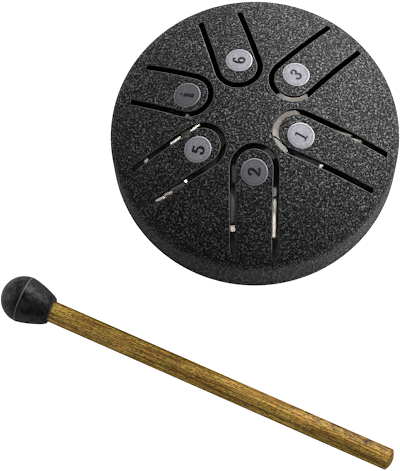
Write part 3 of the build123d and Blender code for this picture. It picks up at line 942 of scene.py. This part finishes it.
# Light that strays into the drum and lies on the base, seen through the slots. A bar lies below a slot: note and side,
# from and to along the tongue, middle and width across from the tongue's edge, twist, glow. A pool lies below a place
# of the dome: x and y, length and width, glow.
stray = {
    "lift": 1.2, "spread": 40.0, "tone": (1.0, 0.95, 0.89), "power": 25.0, "floorPower": 120.0,
    "bars": [
        ("re", 1, 19.4, 22.8, 0.5, 0.8, 0, 0.05), ("re", 1, 22.3, 26.0, 0.5, 0.75, 0, 0.21),
        ("re", 1, 25.5, 32.5, 0.45, 0.75, 0, 0.31), ("re", -1, 19.0, 29.0, 0.7, 1.0, 0, 0.05),
        ("re", -1, 13.5, 18.5, 0.4, 0.7, 0, 0.012), ("re", -1, 29.2, 30.8, 0.7, 1.2, 12, 0.5),
        ("do", 1, 20.5, 26.1, 0.25, 0.5, 0, 0.18), ("do", 1, 26.0, 29.2, 0.3, 0.6, 3, 0.24),
        ("do", -1, 14.0, 21.0, 0.9, 0.9, 0, 0.01), ("do", -1, 21.0, 21.8, 0.8, 1.0, 0, 0.3),
        ("sol", -1, 13.9, 16.9, 0.6, 0.4, 9, 0.75), ("sol", -1, 17.2, 19.6, 0.7, 1.2, 0, 0.03),
        ("sol", -1, 19.8, 23.2, 0.6, 0.4, 9, 0.75), ("sol", -1, 30.1, 31.5, 0.65, 0.6, 20, 0.36),
        ("sol", 1, 24.4, 25.0, 0.6, 0.6, 0, 0.85), ("sol", 1, 25.3, 29.2, 0.7, 0.7, 0, 0.03),
        ("sol", 1, 29.0, 31.5, 0.75, 0.55, 0, 0.26), ("sol", 1, 31.2, 34.2, 0.75, 0.6, 0, 0.55),
        ("high_do", 1, 17.0, 17.9, 0.8, 1.2, 0, 0.05),
    ],
    "pools": [(8.2, -2.4, 10.4, 10.4, 0.112), (7.2, -8.0, 5.2, 5.4, 0.07), (10.0, 5.6, 9.0, 4.4, 0.1),
              (4.2, -10.6, 4.4, 3.4, 0.008), (-13.0, -9.0, 12.0, 12.0, 0.005)],
}


def areaLight(name, place, size, power, only=None):
    # square lamp turned to the drum; where only names a piece, it lights that piece alone
    lamp = bpy.data.lights.new(name, "AREA")
    lamp.shape, lamp.size, lamp.energy = "SQUARE", size, power
    holder = putInScene(name, lamp)
    holder.location = place
    holder.rotation_euler = (Vector(studio["aim"]) - Vector(place)).to_track_quat("-Z", "Y").to_euler()
    holder.visible_camera = False
    if only:
        holder.light_linking.receiver_collection = bpy.data.collections.new(name + "_pieces")
        holder.light_linking.receiver_collection.objects.link(only)


def strayLight(name, place, length, width, turn, glow, shape):
    # A small lamp just above the base, which shines down on the spot that the camera sees through a place of the dome.
    # The line of sight is followed down to the flat of the base, to the round corner beside it, or through the sound
    # hole to the floor.
    eye, spot = np.array(view["place"]), onDome(np.array(place), drum["dome"] - drum["sheet"] / 2)
    height, corner = drum["base"] + drum["sheet"], drum["radius"] - drum["baseRadius"]
    for _ in range(4):
        landing = eye + (spot - eye) * (height - eye[2]) / (spot[2] - eye[2])
        beyond = max(0.0, math.hypot(landing[0], landing[1]) - drum["baseRadius"])
        height = drum["base"] + corner - math.sqrt((corner - drum["sheet"])**2 - beyond**2)
    power = stray["power"]
    if math.hypot(landing[0], landing[1]) < drum["soundHole"]:
        landing, power = eye + (spot - eye) * eye[2] / (eye[2] - spot[2]), stray["floorPower"]
    slope = beyond / (corner - drum["sheet"])
    inward = -slope * landing[:2] / math.hypot(landing[0], landing[1])
    normal = Vector((*inward, math.sqrt(1 - slope**2)))
    along = Vector((math.cos(turn), math.sin(turn), 0))
    along = (along - normal * along.dot(normal)).normalized()
    grow = (landing[2] - eye[2]) / (spot[2] - eye[2])
    lamp = bpy.data.lights.new(name, "AREA")
    lamp.shape, lamp.size, lamp.size_y, lamp.color = shape, length * grow * mm, width * grow * mm, stray["tone"]
    lamp.energy = glow * power * length * width * mm**2
    lamp.spread = math.radians(stray["spread"])
    holder = putInScene(name, lamp)
    facing = Matrix((along, normal.cross(along), normal)).transposed().to_4x4()
    holder.matrix_world = Matrix.Translation((Vector(landing) + normal * stray["lift"]) * mm) @ facing
    holder.visible_camera = False


def buildStrays():
    # each bar and pool of stray light gets its lamp
    for i, (note, side, start, end, middle, width, twist, glow) in enumerate(stray["bars"]):
        facts = tongues[note]
        half = np.interp((start + end) / 2, [facts["bend"], facts["root"]], [facts["halfTip"], facts["halfRoot"]])
        place = facts["axis"] * (start + end) / 2 + facts["side"] * side * (half + middle)
        turn = math.radians(facts["angle"] + twist)
        strayLight("stray_bar_" + str(i + 1), place, end - start, width, turn, glow, "RECTANGLE")
    for i, (x, y, length, width, glow) in enumerate(stray["pools"]):
        strayLight("stray_pool_" + str(i + 1), (x, y), length, width, 0.0, glow, "ELLIPSE")


def buildStudio():
    # white floor, white sky and the lamps
    s = studio
    half = s["floorSize"] / 2
    flat = bpy.data.meshes.new("studio_floor")
    flat.from_pydata([(-half, -half, 0), (half, -half, 0), (half, half, 0), (-half, half, 0)], [], [(0, 1, 2, 3)])
    floor = putInScene("studio_floor", flat)
    look, tree, shader = newLook("studio_white")
    shader.inputs["Roughness"].default_value = s["floorRough"]
    shader.inputs["Specular IOR Level"].default_value = s["floorGloss"]
    shader.inputs["Emission Color"].default_value = (1, 1, 1, 1)
    # lit white table: glows mostly for the camera, and not in the shade under the drum's sound hole
    clear = remap(tree, lengthOf(tree, objectPlace(tree)), s["shadeFrom"] * mm, s["shadeTo"] * mm)
    seen = addNode(tree, "ShaderNodeLightPath").outputs["Is Camera Ray"]
    tone = mixColours(tree, seen, s["floor"], s["floorSeen"])
    # its colour darkens there too: painted shade under the drum
    feed(tree, mixColours(tree, clear, s["floorShade"], tone), shader, "Base Color")
    glow = remap(tree, seen, 0, 1, s["floorBounce"], s["floorGlow"])
    feed(tree, calculate(tree, "MULTIPLY", clear, glow), shader, "Emission Strength")
    flat.materials.append(look)
    world = bpy.data.worlds.new("studio_sky")
    world.use_nodes = True
    tree = world.node_tree
    background = tree.nodes["Background"]
    background.inputs["Color"].default_value = (1, 1, 1, 1)
    seen = addNode(tree, "ShaderNodeLightPath").outputs["Is Camera Ray"]
    feed(tree, remap(tree, seen, 0, 1, s["sky"], s["backdrop"]), background, "Strength")
    bpy.context.scene.world = world
    for name, lamp in s["lamps"].items():
        areaLight(name, **lamp)
    areaLight("stick_lamp", only=stick, **s["stickLamp"])
    areaLight("head_lamp", only=head, **s["headLamp"])
    bpy.context.scene.view_settings.view_transform = "Standard"


def finishPicture():
    # a product photograph's mild sharpening of the finished picture
    scene = bpy.context.scene
    scene.use_nodes = True
    tree = scene.node_tree
    tree.nodes.clear()
    picture = tree.nodes.new("CompositorNodeRLayers")
    crisp = tree.nodes.new("CompositorNodeFilter")
    crisp.filter_type = "SHARPEN_DIAMOND"
    crisp.inputs["Fac"].default_value = studio["sharpen"]
    result = tree.nodes.new("CompositorNodeComposite")
    tree.links.new(picture.outputs["Image"], crisp.inputs["Image"])
    tree.links.new(crisp.outputs["Image"], result.inputs["Image"])


def buildCamera():
    # looks along heading and pitch, then rolls; the sensor's width goes along the long side of the image
    a, e, r = (math.radians(view[k]) for k in ("heading", "pitch", "roll"))
    forward = Vector((math.sin(a) * math.cos(e), math.cos(a) * math.cos(e), -math.sin(e)))
    level = Vector((math.cos(a), -math.sin(a), 0))
    upward = level.cross(forward)
    right = level * math.cos(r) + upward * math.sin(r)
    up = upward * math.cos(r) - level * math.sin(r)
    lens = bpy.data.cameras.new("photo_camera")
    lens.sensor_width = view["sensor"]
    lens.lens = view["focalPixels"] * lens.sensor_width / view["imageHeight"]
    lens.clip_start, lens.clip_end = view["clip"]
    camera = putInScene("photo_camera", lens)
    turn = Matrix((right, up, -forward)).transposed().to_4x4()
    camera.matrix_world = Matrix.Translation(Vector(view["place"]) * mm) @ turn
    bpy.context.scene.camera = camera


buildStudio()
buildStrays()
buildCamera()
finishPicture()
print("studio and camera ready")
